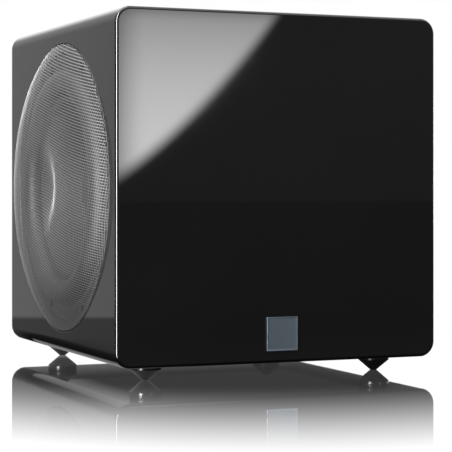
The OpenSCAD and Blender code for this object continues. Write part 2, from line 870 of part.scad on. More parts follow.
module mains_inlet() {
    face = plate_y + inlet_t;
    color("#161616") difference() {
        union() {
            translate([inlet_x, plate_y, low_z]) rotate([-90, 0, 0]) slab(inlet_w, inlet_h, inlet_t, 4);
            upright(plate_y - inlet_deep, inlet_deep) translate([inlet_x, low_z])
                square([inlet_body_w, inlet_body_h], center = true);
        }
        upright(face - socket_deep, socket_deep + 1) translate([inlet_x, low_z + socket_up])
            socket_outline(socket_w, socket_h, socket_cut);
        upright(plate_y - inlet_deep + 2, inlet_deep + inlet_t) translate([inlet_x, low_z - drawer_down])
            square([drawer_w + 2 * slip, drawer_h + 2 * slip], center = true);
        upright(plate_y - inlet_deep - 1, inlet_deep) blades();
        inlet_screw_places() bar_y(0, 0, plate_y - 1, inlet_t + 2, 1.6);
    }
}

module blades() {
    translate([inlet_x, low_z + socket_up]) for (p = [[-7, -2], [7, -2], [0, 2]])
        translate(p) square([blade_w, blade_h], center = true);
}

module inlet_pins() {
    back = plate_y - inlet_deep - 6;
    color("silver") upright(back, plate_y + inlet_t - blade_back - back) blades();
}

// sliding tray for the fuse, with a finger lip below its face
module fuse_drawer() {
    face = plate_y + inlet_t;
    back = plate_y - inlet_deep + 4;
    z = low_z - drawer_down;
    color("#1e1e1e") difference() {
        union() {
            upright(back, face - back + 0.1) translate([inlet_x, z])
                square([drawer_w, drawer_h], center = true);
            upright(face, drawer_face_t) translate([inlet_x, z])
                square([drawer_w + 1.6, drawer_h + 1.2], center = true);
            upright(face, drawer_face_t + 1.2) translate([inlet_x, z + drawer_h / 2 - 0.4])
                square([8, 1.2], center = true);
        }
        upright(back - 1, face - back - 3) translate([inlet_x, z + 1])
            square([drawer_w - 3, drawer_h - 1], center = true);
    }
}

module switch_housing() {
    half_x = rocker_w / 2 + slip;
    half_z = rocker_r + slip * 2;
    color("#161616") difference() {
        union() {
            translate([switch_x, plate_y, low_z]) rotate([-90, 0, 0])
                slab(switch_w, switch_h, switch_t, 2.5);
            upright(plate_y - switch_deep, switch_deep) translate([switch_x, low_z])
                square([switch_body_w, switch_body_h], center = true);
        }
        upright(plate_y - switch_deep + 2, switch_deep + switch_t) translate([switch_x, low_z])
            square([2 * half_x, 2 * half_z], center = true);
        translate([switch_x - rocker_w / 2 - trunnion_l - 0.1, plate_y, low_z]) rotate([0, 90, 0])
            cylinder(h = rocker_w + 2 * trunnion_l + 0.2, r = trunnion_r + hinge_gap);
    }
}

// rocker whose ends are arcs about its own axis, resting with its upper end pressed
module power_rocker() {
    rise = tan(rocker_slope) * rocker_r;
    low = -4.5;
    color("#262626") translate([switch_x, plate_y, low_z]) rotate([rocker_swing / 2, 0, 0]) {
        translate([-rocker_w / 2, 0, 0]) rotate([90, 0, 90]) linear_extrude(rocker_w) intersection() {
            circle(r = rocker_r);
            polygon([
                [low, -rocker_r], [rocker_face + rise, -rocker_r], [rocker_face, 0],
                [rocker_face + rise, rocker_r], [low, rocker_r]
            ]);
        }
        translate([-rocker_w / 2 - trunnion_l, 0, 0]) rotate([0, 90, 0])
            cylinder(h = rocker_w + 2 * trunnion_l, r = trunnion_r);
    }
}

top_panel();
bottom_panel();
left_side_panel();
right_side_panel();
front_panel();
rear_panel();
internal_brace();
badge_plate();
foot_front_left();
foot_front_right();
foot_rear_left();
foot_rear_right();
foot_studs();
left_basket();
left_gasket();
left_surround();
left_cone();
left_dust_cap();
left_voice_coil();
left_spider();
left_top_plate();
left_magnet();
left_yoke();
right_basket();
right_gasket();
right_surround();
right_cone();
right_dust_cap();
right_voice_coil();
right_spider();
right_top_plate();
right_magnet();
right_yoke();
driver_screws();
left_grille();
left_grille_ring();
right_grille();
right_grille_ring();
amp_panel();
amp_seal();
panel_screws();
heat_sink();
circuit_board();
board_parts();
speaker_leads();
control_fascia();
button_1();
button_2();
button_3();
button_4();
button_5();
status_lights();
phono_barrels();
phono_insulators();
trigger_socket();
mains_inlet();
inlet_pins();
fuse_drawer();
switch_housing();
power_rocker();
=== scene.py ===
"""A compact powered subwoofer: gloss black cabinet, mesh grilles on both sides, conical feet."""

import json
import math

import bpy
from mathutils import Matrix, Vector


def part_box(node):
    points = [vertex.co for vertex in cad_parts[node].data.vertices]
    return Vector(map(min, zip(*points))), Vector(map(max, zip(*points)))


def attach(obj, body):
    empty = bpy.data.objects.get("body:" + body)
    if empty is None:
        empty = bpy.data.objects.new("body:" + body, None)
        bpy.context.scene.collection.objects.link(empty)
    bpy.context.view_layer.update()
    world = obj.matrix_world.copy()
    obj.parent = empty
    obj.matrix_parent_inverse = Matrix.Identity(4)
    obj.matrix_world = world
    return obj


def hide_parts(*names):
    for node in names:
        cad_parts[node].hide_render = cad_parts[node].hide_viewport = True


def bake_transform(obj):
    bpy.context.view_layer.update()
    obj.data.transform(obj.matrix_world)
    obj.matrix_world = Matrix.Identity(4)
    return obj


MM = 0.001
ROOT = "cabinet"

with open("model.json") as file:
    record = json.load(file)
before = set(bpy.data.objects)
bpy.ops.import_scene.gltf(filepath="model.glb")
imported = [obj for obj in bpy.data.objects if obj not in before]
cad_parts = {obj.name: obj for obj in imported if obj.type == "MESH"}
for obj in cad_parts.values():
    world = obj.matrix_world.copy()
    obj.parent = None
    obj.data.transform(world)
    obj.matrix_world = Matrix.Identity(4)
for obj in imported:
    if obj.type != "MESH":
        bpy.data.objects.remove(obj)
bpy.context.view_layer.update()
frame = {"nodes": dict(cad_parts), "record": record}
nodes = frame["nodes"]

# ---- sizes read from the frame ----

front_low, front_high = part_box("front_panel")
rear_low, rear_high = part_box("rear_panel")
top_low, top_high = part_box("top_panel")
side_low, side_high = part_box("right_side_panel")
ring_low, ring_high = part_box("right_grille_ring")
dome_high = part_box("right_grille")[1]
gasket_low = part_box("right_gasket")[0]
surround_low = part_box("right_surround")[0]
spider_low, spider_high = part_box("right_spider")
amp_low, amp_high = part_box("amp_panel")
seal_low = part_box("amp_seal")[0]

HALF_W = side_high.x
FRONT_Y, REAR_Y = front_low.y, rear_high.y
BOTTOM_Z, TOP_Z = front_low.z, front_high.z
SIDE_T = HALF_W - side_low.x
TOP_T = top_high.z - top_low.z
FRONT_T = front_high.y - FRONT_Y
REAR_T = REAR_Y - rear_low.y
EDGE_R = 12 * MM
FACE_R = 2.5 * MM
MOUTH = (ring_low + ring_high) / 2
MOUTH_Y, MOUTH_Z = MOUTH.y, MOUTH.z
GRILLE_R = (ring_high.z - ring_low.z) / 2
MOUTH_R = GRILLE_R + 0.5 * MM
MOUTH_DEEP = HALF_W - gasket_low.x
CUTOUT_R = 93 * MM
BULGE = dome_high.x - HALF_W
SPIDER_FACE = spider_high.x - 1.5 * MM
BODY_OF = {
    node: body for body, members in frame["record"]["behaviour"]["bodies"].items()
    for node in members
}


# ---- modelling helpers ----

def fresh():
    """Leaves edit mode and selects nothing."""
    if bpy.context.object and bpy.context.object.mode != "OBJECT":
        bpy.ops.object.mode_set(mode="OBJECT")
    bpy.ops.object.select_all(action="DESELECT")


def hold(piece):
    """Makes the piece the only one selected, and the active one."""
    fresh()
    piece.select_set(True)
    bpy.context.view_layer.objects.active = piece
    return piece


def new_piece(name):
    """Names the primitive that was just added, with its place put into its mesh."""
    piece = bpy.context.object
    piece.name = piece.data.name = name
    bpy.ops.object.transform_apply(location=True, rotation=True, scale=True)
    return piece


def block(name, low, high):
    fresh()
    centre, size = (Vector(low) + Vector(high)) / 2, Vector(high) - Vector(low)
    bpy.ops.mesh.primitive_cube_add(size=1, location=centre, scale=size)
    return new_piece(name)


def rod(name, start, end, radius, sides=48):
    """A cylinder from start to end."""
    fresh()
    start, end = Vector(start), Vector(end)
    turn = (end - start).to_track_quat("Z", "Y").to_euler()
    bpy.ops.mesh.primitive_cylinder_add(
        vertices=sides, radius=radius, depth=(end - start).length,
        location=(start + end) / 2, rotation=turn,
    )
    return new_piece(name)


def pick(piece, kind, test):
    """Enters edit mode with only those vertices, edges or faces selected that pass the test."""
    hold(piece)
    mesh = piece.data
    for group in (mesh.vertices, mesh.edges, mesh.polygons):
        group.foreach_set("select", [False] * len(group))
    group = {"VERT": mesh.vertices, "EDGE": mesh.edges, "FACE": mesh.polygons}[kind]
    for item in group:
        item.select = bool(test(item))
    bpy.context.tool_settings.mesh_select_mode = [kind == name for name in ("VERT", "EDGE", "FACE")]
    bpy.ops.object.mode_set(mode="EDIT")


def ends(piece, edge):
    """The two end points of an edge."""
    return [piece.data.vertices[i].co for i in edge.vertices]


def finish_modifier(piece, kind, **values):
    """Adds a modifier with these values and applies it."""
    hold(piece)
    bpy.ops.object.modifier_add(type=kind)
    modifier = piece.modifiers[-1]
    for key, value in values.items():
        setattr(modifier, key, value)
    bpy.ops.object.modifier_apply(modifier=modifier.name)


def cut(piece, cutter):
    """Takes the cutter's shape out of the piece."""
    finish_modifier(piece, "BOOLEAN", operation="DIFFERENCE", solver="EXACT", object=cutter)
    bpy.data.objects.remove(cutter)


def smooth(piece, angle=30):
    """Smooth shading that keeps flat faces flat."""
    hold(piece)
    bpy.ops.object.shade_smooth_by_angle(angle=math.radians(angle))
    finish_modifier(piece, "WEIGHTED_NORMAL", mode="FACE_AREA", weight=50, keep_sharp=True)


def soften(piece, width, segments=2, angle=30):
    """Rounds every sharp edge a little."""
    finish_modifier(
        piece, "BEVEL", width=width, segments=segments, limit_method="ANGLE",
        angle_limit=math.radians(angle), use_clamp_overlap=True,
    )
    smooth(piece)


def turned(name, outline, centre, axis, steps=96):
    """A solid of revolution. outline is a closed list of (radius, place along the axis)."""
    fresh()
    bpy.ops.mesh.primitive_plane_add(size=1)
    piece = new_piece(name)
    mesh = piece.data
    mesh.clear_geometry()
    points = [(r, 0, h) for r, h in outline]
    count = len(points)
    mesh.from_pydata(points, [(i, (i + 1) % count) for i in range(count)], [])
    hold(piece)
    bpy.ops.object.mode_set(mode="EDIT")
    bpy.ops.mesh.select_all(action="SELECT")
    bpy.ops.mesh.spin(
        steps=steps, angle=2 * math.pi, center=(0, 0, 0), axis=(0, 0, 1), use_auto_merge=True
    )
    bpy.ops.mesh.select_all(action="SELECT")
    bpy.ops.mesh.remove_doubles(threshold=1e-6)
    bpy.ops.mesh.dissolve_degenerate(threshold=1e-7)
    bpy.ops.mesh.normals_make_consistent(inside=False)
    bpy.ops.object.mode_set(mode="OBJECT")
    piece.rotation_euler = Vector(axis).to_track_quat("Z", "Y").to_euler()
    piece.location = centre
    bpy.ops.object.transform_apply(location=True, rotation=True, scale=True)
    return piece


def arc(centre_r, centre_h, radius, start, end, steps):
    """Points (radius, height) of an arc in a turned outline, angles in degrees."""
    points = []
    for i in range(steps + 1):
        angle = math.radians(start + (end - start) * i / steps)
        points.append((centre_r + radius * math.cos(angle), centre_h + radius * math.sin(angle)))
    return points


def dress(piece, material, body=ROOT, replaces=()):
    """Gives a new piece its material and body, and hides the CAD nodes it stands for."""
    piece.data.materials.clear()
    piece.data.materials.append(material)
    if body:
        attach(piece, body)
    if replaces:
        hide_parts(*replaces)
    return piece


# ---- materials ----

def link(tree, source, target):
    tree.links.new(source, target)


def math_node(tree, operation, a, b=None, clamp=False):
    node = tree.nodes.new("ShaderNodeMath")
    node.operation = operation
    node.use_clamp = clamp
    for socket, value in zip(node.inputs, (a, b)):
        if value is None:
            continue
        if isinstance(value, (int, float)):
            socket.default_value = value
        else:
            link(tree, value, socket)
    return node.outputs[0]


def ramp(tree, value, low, high, to_low, to_high, smooth_step=False):
    """Maps value from low..high to to_low..to_high."""
    node = tree.nodes.new("ShaderNodeMapRange")
    if smooth_step:
        node.interpolation_type = "SMOOTHSTEP"
    for i, number in enumerate((low, high, to_low, to_high), 1):
        node.inputs[i].default_value = number
    link(tree, value, node.inputs[0])
    return node.outputs[0]


def new_group(name, inputs, outputs):
    """A shader group with float inputs {name: default} and named outputs {name: socket type}."""
    group = bpy.data.node_groups.new(name, "ShaderNodeTree")
    group.interface.new_socket(name="Vector", in_out="INPUT", socket_type="NodeSocketVector")
    for key, value in inputs.items():
        socket = group.interface.new_socket(name=key, in_out="INPUT", socket_type="NodeSocketFloat")
        socket.default_value = value
    for key, kind in outputs.items():
        group.interface.new_socket(name=key, in_out="OUTPUT", socket_type=kind)
    return group, group.nodes.new("NodeGroupInput").outputs, group.nodes.new("NodeGroupOutput").inputs


def noise(tree, vector, scale, detail=3.0, roughness=0.5):
    node = tree.nodes.new("ShaderNodeTexNoise")
    node.inputs["Detail"].default_value = detail
    node.inputs["Roughness"].default_value = roughness
    link(tree, vector, node.inputs["Vector"])
    if isinstance(scale, (int, float)):
        node.inputs["Scale"].default_value = scale
    else:
        link(tree, scale, node.inputs["Scale"])
    return node.outputs["Fac"]


def build_finish_group():
    """Fine grain with broad handling marks: a height and a roughness that both vary."""
    group, given, out = new_group(
        "surface_finish",
        {"Grain Scale": 900.0, "Patch Scale": 14.0, "Rough Low": 0.3, "Rough High": 0.4},
        {"Height": "NodeSocketFloat", "Roughness": "NodeSocketFloat", "Patches": "NodeSocketFloat"},
    )
    grain = noise(group, given["Vector"], given["Grain Scale"], 4.0, 0.6)
    patches = noise(group, given["Vector"], given["Patch Scale"], 5.0, 0.55)
    mixed = math_node(group, "ADD", math_node(group, "MULTIPLY", patches, 0.8),
                      math_node(group, "MULTIPLY", grain, 0.2))
    spread = ramp(group, mixed, 0.3, 0.7, 0.0, 1.0)
    reach = math_node(group, "SUBTRACT", given["Rough High"], given["Rough Low"])
    rough = math_node(group, "ADD", given["Rough Low"], math_node(group, "MULTIPLY", spread, reach))
    link(group, grain, out["Height"])
    link(group, rough, out["Roughness"])
    link(group, spread, out["Patches"])
    return group


def build_brush_group():
    """Long fine scratches along one axis, as on brushed metal."""
    group, given, out = new_group(
        "brushed_lines",
        {"Across": 4000.0, "Along": 60.0, "Rough Low": 0.25, "Rough High": 0.4},
        {"Height": "NodeSocketFloat", "Roughness": "NodeSocketFloat"},
    )
    stretch = group.nodes.new("ShaderNodeCombineXYZ")
    link(group, given["Along"], stretch.inputs["X"])
    link(group, given["Across"], stretch.inputs["Y"])
    link(group, given["Across"], stretch.inputs["Z"])
    scaled = group.nodes.new("ShaderNodeVectorMath")
    scaled.operation = "MULTIPLY"
    link(group, given["Vector"], scaled.inputs[0])
    link(group, stretch.outputs[0], scaled.inputs[1])
    lines = noise(group, scaled.outputs[0], 1.0, 3.0, 0.6)
    reach = math_node(group, "SUBTRACT", given["Rough High"], given["Rough Low"])
    rough = math_node(group, "ADD", given["Rough Low"], math_node(group, "MULTIPLY", lines, reach))
    link(group, lines, out["Height"])
    link(group, rough, out["Roughness"])
    return group


FINISH = build_finish_group()
BRUSHED = build_brush_group()


def new_material(name, color, metallic=0.0, shade=None, grain=900.0, patch=14.0,
                 rough=(0.3, 0.4), bump=0.1, depth=0.05 * MM, **sockets):
    """A Principled material with fine grain, broad roughness patches and two close shades."""
    material = bpy.data.materials.new(name)
    material.use_nodes = True
    tree = material.node_tree
    shader = tree.nodes["Principled BSDF"]
    shader.inputs["Metallic"].default_value = metallic
    for key, value in sockets.items():
        shader.inputs[key.replace("_", " ")].default_value = value
    place = tree.nodes.new("ShaderNodeTexCoord").outputs["Object"]
    finish = tree.nodes.new("ShaderNodeGroup")
    finish.node_tree = FINISH
    link(tree, place, finish.inputs["Vector"])
    for key, value in zip(("Grain Scale", "Patch Scale", "Rough Low", "Rough High"),
                          (grain, patch, *rough)):
        finish.inputs[key].default_value = value
    link(tree, finish.outputs["Roughness"], shader.inputs["Roughness"])
    mix = tree.nodes.new("ShaderNodeMix")
    mix.data_type = "RGBA"
    mix.inputs["A"].default_value = (*color, 1)
    mix.inputs["B"].default_value = (*(shade or [c * 1.25 for c in color]), 1)
    link(tree, finish.outputs["Patches"], mix.inputs["Factor"])
    link(tree, mix.outputs["Result"], shader.inputs["Base Color"])
    relief = tree.nodes.new("ShaderNodeBump")
    relief.inputs["Strength"].default_value = bump
    relief.inputs["Distance"].default_value = depth
    link(tree, finish.outputs["Height"], relief.inputs["Height"])
    link(tree, relief.outputs["Normal"], shader.inputs["Normal"])
    return material


def brushed_material(name, color, metallic, rough, along="X", bump=0.12, **sockets):
    """A brushed metal whose lines run along one axis."""
    material = new_material(name, color, metallic=metallic, **sockets)
    tree = material.node_tree
    shader = tree.nodes["Principled BSDF"]
    place = tree.nodes["Texture Coordinate"].outputs["Object"]
    turn = tree.nodes.new("ShaderNodeMapping")
    turn.inputs["Rotation"].default_value = (0, 0, math.pi / 2) if along == "Y" else (
        (0, math.pi / 2, 0) if along == "Z" else (0, 0, 0))
    link(tree, place, turn.inputs["Vector"])
    lines = tree.nodes.new("ShaderNodeGroup")
    lines.node_tree = BRUSHED
    link(tree, turn.outputs[0], lines.inputs["Vector"])
    lines.inputs["Rough Low"].default_value, lines.inputs["Rough High"].default_value = rough
    link(tree, lines.outputs["Roughness"], shader.inputs["Roughness"])
    relief = tree.nodes["Bump"]
    relief.inputs["Strength"].default_value = bump
    link(tree, lines.outputs["Height"], relief.inputs["Height"])
    return material


LACQUER = new_material("black_lacquer", (0.0011, 0.0011, 0.0012), rough=(0.012, 0.03),
                       grain=260.0, patch=9.0, bump=0.01, depth=0.02 * MM)
BADGE = brushed_material("badge_metal", (0.11, 0.135, 0.16), 0.9, (0.28, 0.4), along="X")
RUBBER = new_material("foot_rubber", (0.004, 0.004, 0.0042), rough=(0.18, 0.3), grain=1600.0,
                      bump=0.12, depth=0.03 * MM)
MESH = new_material("grille_steel", (0.2, 0.2, 0.204), 1.0, (0.207, 0.207, 0.211), 2500.0,
                    4.0, (0.50, 0.54), bump=0.05, depth=0.01 * MM)
RIM = new_material("grille_rim_metal", (0.06, 0.06, 0.062), metallic=1.0, rough=(0.35, 0.45))
CAST = new_material("cast_black", (0.02, 0.02, 0.021), metallic=0.6, rough=(0.5, 0.65),
                    grain=1400.0, bump=0.3)
FOAM = new_material("black_foam", (0.008, 0.008, 0.008), rough=(0.9, 0.98), grain=2200.0, bump=0.6)
SURROUND = new_material("surround_rubber", (0.006, 0.006, 0.0062), rough=(0.45, 0.6),
                        grain=2200.0, bump=0.15)
CONE = new_material("coated_pulp", (0.008, 0.008, 0.009), rough=(0.5, 0.7), grain=700.0,
                    patch=40.0, bump=0.5, depth=0.15 * MM)
COPPER = new_material("enamelled_copper", (0.55, 0.2, 0.07), metallic=1.0, rough=(0.25, 0.4))
CLOTH = new_material("spider_cloth", (0.45, 0.26, 0.05), rough=(0.8, 0.95), grain=1500.0, bump=0.6)
STEEL = new_material("motor_steel", (0.25, 0.25, 0.26), metallic=1.0, rough=(0.35, 0.5))
FERRITE = new_material("ferrite", (0.035, 0.035, 0.037), rough=(0.45, 0.6), grain=1200.0, bump=0.3)
ZINC = new_material("zinc_steel", (0.55, 0.56, 0.57), metallic=1.0, rough=(0.22, 0.38))
BLACK_STEEL = new_material("black_oxide", (0.012, 0.012, 0.013), metallic=0.85,
                           rough=(0.32, 0.46), grain=1500.0)
COAT = new_material("powder_coat", (0.012, 0.012, 0.0125), rough=(0.5, 0.62), grain=2600.0,
                    patch=12.0, bump=0.55, depth=0.12 * MM)
ALUMINIUM = brushed_material("extruded_aluminium", (0.6, 0.61, 0.62), 1.0, (0.3, 0.45), along="Z")
LAMINATE = new_material("board_laminate", (0.01, 0.08, 0.03), rough=(0.3, 0.4), patch=60.0)
CASES = new_material("component_cases", (0.02, 0.02, 0.024), rough=(0.35, 0.5))
SLEEVE = new_material("lead_sleeve", (0.3, 0.012, 0.01), rough=(0.45, 0.6))
FASCIA = new_material("gloss_fascia", (0.004, 0.004, 0.0042), rough=(0.05, 0.1), bump=0.02)
BUTTON = new_material("button_plastic", (0.05, 0.05, 0.052), rough=(0.38, 0.5), grain=2400.0,
                      bump=0.2)
GOLD = new_material("phono_gold", (0.85, 0.55, 0.2), metallic=1.0, rough=(0.15, 0.28))
SOCKET = new_material("socket_plastic", (0.01, 0.01, 0.0105), rough=(0.4, 0.55), grain=2600.0,
                      bump=0.35)
ROCKER = new_material("rocker_plastic", (0.012, 0.012, 0.0125), rough=(0.22, 0.32), bump=0.08)
PHONO_RED = new_material("phono_red", (0.5, 0.015, 0.012), rough=(0.3, 0.42))
LIGHT = new_material("light_pipe", (0.12, 0.3, 0.6), rough=(0.1, 0.2),
                     Emission_Color=(0.1, 0.4, 1.0, 1), Emission_Strength=1.6)
BOARD = new_material("raw_fibreboard", (0.36, 0.23, 0.13), rough=(0.75, 0.9), grain=800.0, bump=0.4)


# ---- cabinet ----

def build_cabinet():
    """The lacquered box: round long edges, softened faces, two stepped mouths, the amplifier rebate."""
    low, high = (-HALF_W, FRONT_Y, BOTTOM_Z), (HALF_W, REAR_Y, TOP_Z)
    shell = block("cabinet_shell", low, high)
    pick(shell, "EDGE", lambda e: abs(ends(shell, e)[0].y - ends(shell, e)[1].y) > EDGE_R)
    bpy.ops.mesh.bevel(offset=EDGE_R, segments=20, profile=0.5)
    bpy.ops.object.mode_set(mode="OBJECT")

    def on_face(edge):
        a, b = ends(shell, edge)
        return abs(a.y - b.y) < 1e-5
    pick(shell, "EDGE", on_face)
    bpy.ops.mesh.bevel(offset=FACE_R, segments=8, profile=0.5)
    bpy.ops.object.mode_set(mode="OBJECT")

    cut(shell, block("cavity", (-HALF_W + SIDE_T, FRONT_Y + FRONT_T, BOTTOM_Z + TOP_T),
                     (HALF_W - SIDE_T, REAR_Y - REAR_T, TOP_Z - TOP_T)))
    axis_end = Vector((HALF_W + EDGE_R, 0, 0))
    middle = Vector((0, MOUTH_Y, MOUTH_Z))
    cut(shell, rod("driver_hole", middle - axis_end, middle + axis_end, CUTOUT_R, 128))
    for side in (-1, 1):
        step = Vector((side * (HALF_W - MOUTH_DEEP), MOUTH_Y, MOUTH_Z))
        cut(shell, rod("mouth_step", step, middle + side * axis_end, MOUTH_R, 192))
    room = 0.5 * MM
    rebate = block("rebate", (amp_low.x - room, seal_low.y, amp_low.z - room),
                   (amp_high.x + room, REAR_Y + EDGE_R, amp_high.z + room))
    pick(rebate, "EDGE", lambda e: abs(ends(rebate, e)[0].y - ends(rebate, e)[1].y) > EDGE_R)
    bpy.ops.mesh.bevel(offset=4.5 * MM, segments=8, profile=0.5)
    bpy.ops.object.mode_set(mode="OBJECT")
    cut(shell, rebate)
    ledge = 10 * MM
    cut(shell, block("amp_hole", (amp_low.x + ledge, REAR_Y - 2 * REAR_T, amp_low.z + ledge),
                     (amp_high.x - ledge, REAR_Y, amp_high.z - ledge)))

    def on_mouth(edge):
        return all(
            abs(abs(p.x) - HALF_W) < 1e-5
            and abs(math.hypot(p.y - MOUTH_Y, p.z - MOUTH_Z) - MOUTH_R) < 1e-4
            for p in ends(shell, edge)
        )
    pick(shell, "EDGE", on_mouth)
    bpy.ops.mesh.bevel(offset=0.6 * MM, segments=3, profile=0.5)
    bpy.ops.object.mode_set(mode="OBJECT")

    def on_rebate(edge):
        a, b = ends(shell, edge)
        inside = all(abs(p.x) < amp_high.x + 2 * MM and amp_low.z - 2 * MM < p.z < amp_high.z + 2 * MM
                     for p in (a, b))
        return inside and abs(a.y - REAR_Y) < 1e-5 and abs(b.y - REAR_Y) < 1e-5
    pick(shell, "EDGE", on_rebate)
    bpy.ops.mesh.bevel(offset=0.8 * MM, segments=3, profile=0.5)
    bpy.ops.object.mode_set(mode="OBJECT")
    smooth(shell)
    return dress(shell, LACQUER, replaces=(
        "front_panel", "rear_panel", "top_panel", "bottom_panel", "left_side_panel",
        "right_side_panel"))


def build_badge():
    """A blank square plate: a bright bevelled frame round a brushed field."""
    low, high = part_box("badge_plate")
    plate = block("badge_face", low, high)
    pick(plate, "FACE", lambda f: f.normal.y < -0.9)
    bpy.ops.mesh.inset(thickness=0.7 * MM)
    bpy.ops.mesh.inset(thickness=0.35 * MM, depth=-0.25 * MM)
    bpy.ops.object.mode_set(mode="OBJECT")
    soften(plate, 0.35 * MM, 3)
    return dress(plate, BADGE, replaces=("badge_plate",))


def build_foot(node):
    """A turned cone with rounded shoulders and a small flat tip."""
    low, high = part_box(node)
    r, top = (high.x - low.x) / 2, high.z - low.z
    tip, cone_h = 2.5 * MM, 8.3 * MM
    outline = [(0, 0), (tip - 0.3 * MM, 0), (tip, 0.12 * MM), (tip + 0.4 * MM, 0.4 * MM),
               (r - 0.3 * MM, cone_h - 0.25 * MM), (r - 0.08 * MM, cone_h),
               (r, cone_h + 0.25 * MM), (r, top - 0.3 * MM), (r - 0.08 * MM, top - 0.08 * MM),
               (r - 0.3 * MM, top), (0, top)]
    centre = ((low.x + high.x) / 2, (low.y + high.y) / 2, low.z)
    foot = turned(node + "_cone", outline, centre, (0, 0, 1), 64)
    smooth(foot, 50)
    return dress(foot, RUBBER, replaces=(node,))


# ---- grilles ----

BULGE_R = 45 * MM
DIMPLE_H = 8 * MM
ROW_STEP = 2.1 * MM
ROW_W = 0.62 * MM
CROSS_W = 0.2 * MM
SHEET_T = 0.1 * MM
LATTICE_TURN = math.radians(-12)


def grille_rise(r):
    """Height of the grille's outer face above the side of the cabinet at radius r."""
    if r > BULGE_R:
        return BULGE * (1 - ((r - BULGE_R) / (MOUTH_R - BULGE_R)) ** 3)
    return DIMPLE_H + (BULGE - DIMPLE_H) * (1 - math.cos(math.pi * r / BULGE_R)) / 2


def grille_slope(r):
    """Slope of the grille at radius r."""
    step = 0.1 * MM
    return (grille_rise(r + step) - grille_rise(max(r - step, 0))) / (step + min(r, step))


def build_mesh_sheet():
    """A flat sheet of wire mesh: one opening with its bars, repeated in rows and columns."""
    reach = GRILLE_R - 0.3 * MM
    count = 2 * int(reach / ROW_STEP) + 3
    fresh()
    bpy.ops.mesh.primitive_plane_add(size=ROW_STEP)
    sheet = new_piece("mesh_sheet")
    pick(sheet, "FACE", lambda f: True)
    bpy.ops.mesh.inset(thickness=CROSS_W / 2)
    bpy.ops.transform.resize(value=(1, (ROW_STEP - ROW_W) / (ROW_STEP - CROSS_W), 1))
    bpy.ops.mesh.inset(thickness=0.02 * MM, depth=-SHEET_T)
    bpy.ops.mesh.delete(type="ONLY_FACE")
    bpy.ops.object.mode_set(mode="OBJECT")
    finish_modifier(sheet, "ARRAY", count=count, use_relative_offset=False,
                    use_constant_offset=True, constant_offset_displace=(ROW_STEP, 0, 0))
    finish_modifier(sheet, "ARRAY", count=count, use_relative_offset=False,
                    use_constant_offset=True, constant_offset_displace=(0, ROW_STEP, 0))
    half = (count - 1) * ROW_STEP / 2
    hold(sheet)
    bpy.ops.transform.translate(value=(-half, -half, 0))
    bpy.ops.transform.rotate(value=LATTICE_TURN, orient_axis="Z", center_override=(0, 0, 0))
    bpy.ops.object.transform_apply(location=True, rotation=True)
    pick(sheet, "FACE", lambda f: f.center.length > reach)
    bpy.ops.mesh.delete(type="FACE")
    bpy.ops.mesh.select_all(action="SELECT")
    bpy.ops.mesh.remove_doubles(threshold=0.005 * MM)
    bpy.ops.object.mode_set(mode="OBJECT")
    return sheet


def press_sheet(sheet, name, side, upper):
    """A copy of one half of the flat sheet, pressed into the grille's dome."""
    hold(sheet)
    bpy.ops.object.duplicate()
    half = new_piece(name)
    sign = 1 if upper else -1
    pick(half, "FACE", lambda f: f.center.y * sign < 0)
    bpy.ops.mesh.delete(type="FACE")
    bpy.ops.object.mode_set(mode="OBJECT")
    for vertex in half.data.vertices:
        y, z, depth = vertex.co
        r = math.hypot(y, z)
        slope = grille_slope(r)
        tilt = math.hypot(1, slope)
        out = 1 - depth * slope / tilt / max(r, MM)
        height = grille_rise(r) + depth / tilt
        vertex.co = (side * (HALF_W + height), MOUTH_Y + y * out, MOUTH_Z + z * out)
    return half


def build_grille(word, side, sheet):
    """The pressed mesh sheet in two halves, and the thin rim that holds it."""
    node = word + "_grille"
    for part, upper in (("_sheet_upper", True), ("_sheet_lower", False)):
        half = press_sheet(sheet, node + part, side, upper)
        face_out(half, side)
        hold(half)
        bpy.ops.object.shade_smooth_by_angle(angle=math.radians(40))
        dress(half, MESH, replaces=(node,))
    r, roll = GRILLE_R - 0.45 * MM, 0.4 * MM
    outline = arc(r, -0.6 * MM, roll, 0, 180, 8) + [(r - roll, -1.6 * MM), (r + roll, -1.6 * MM)]
    rim = turned(node + "_rim", outline, (side * HALF_W, MOUTH_Y, MOUTH_Z), (side, 0, 0), 160)
    smooth(rim, 50)
    dress(rim, RIM, replaces=(node,))


def face_out(half, side):
    """Turns the faces over where the bars look into the cabinet."""
    area = sum(f.area * f.normal.x * side for f in half.data.polygons)
    if area < 0:
        hold(half)
        bpy.ops.object.mode_set(mode="EDIT")
        bpy.ops.mesh.select_all(action="SELECT")
        bpy.ops.mesh.flip_normals()
        bpy.ops.object.mode_set(mode="OBJECT")


# ---- driver soft parts ----

SECTORS = 16
SECTOR_TURN = 2 * math.pi / SECTORS
ROLL_R = 84 * MM
ROLL_OUTER, ROLL_INNER = 10.3 * MM, 8.7 * MM
SURROUND_IN, SURROUND_OUT = 68.7 * MM, 97.9 * MM
LIP_T = 1.2 * MM
LIP_ANGLE = math.degrees(math.asin(LIP_T / ROLL_OUTER))
SPIDER_IN, SPIDER_OUT = 25.7 * MM, (spider_high.z - spider_low.z) / 2
WAVE_IN, WAVE_OUT = 28.4 * MM, SPIDER_OUT - 8 * MM
WAVES, WAVE_H = 4, 1.5 * MM
SPIDER_T = 0.8 * MM


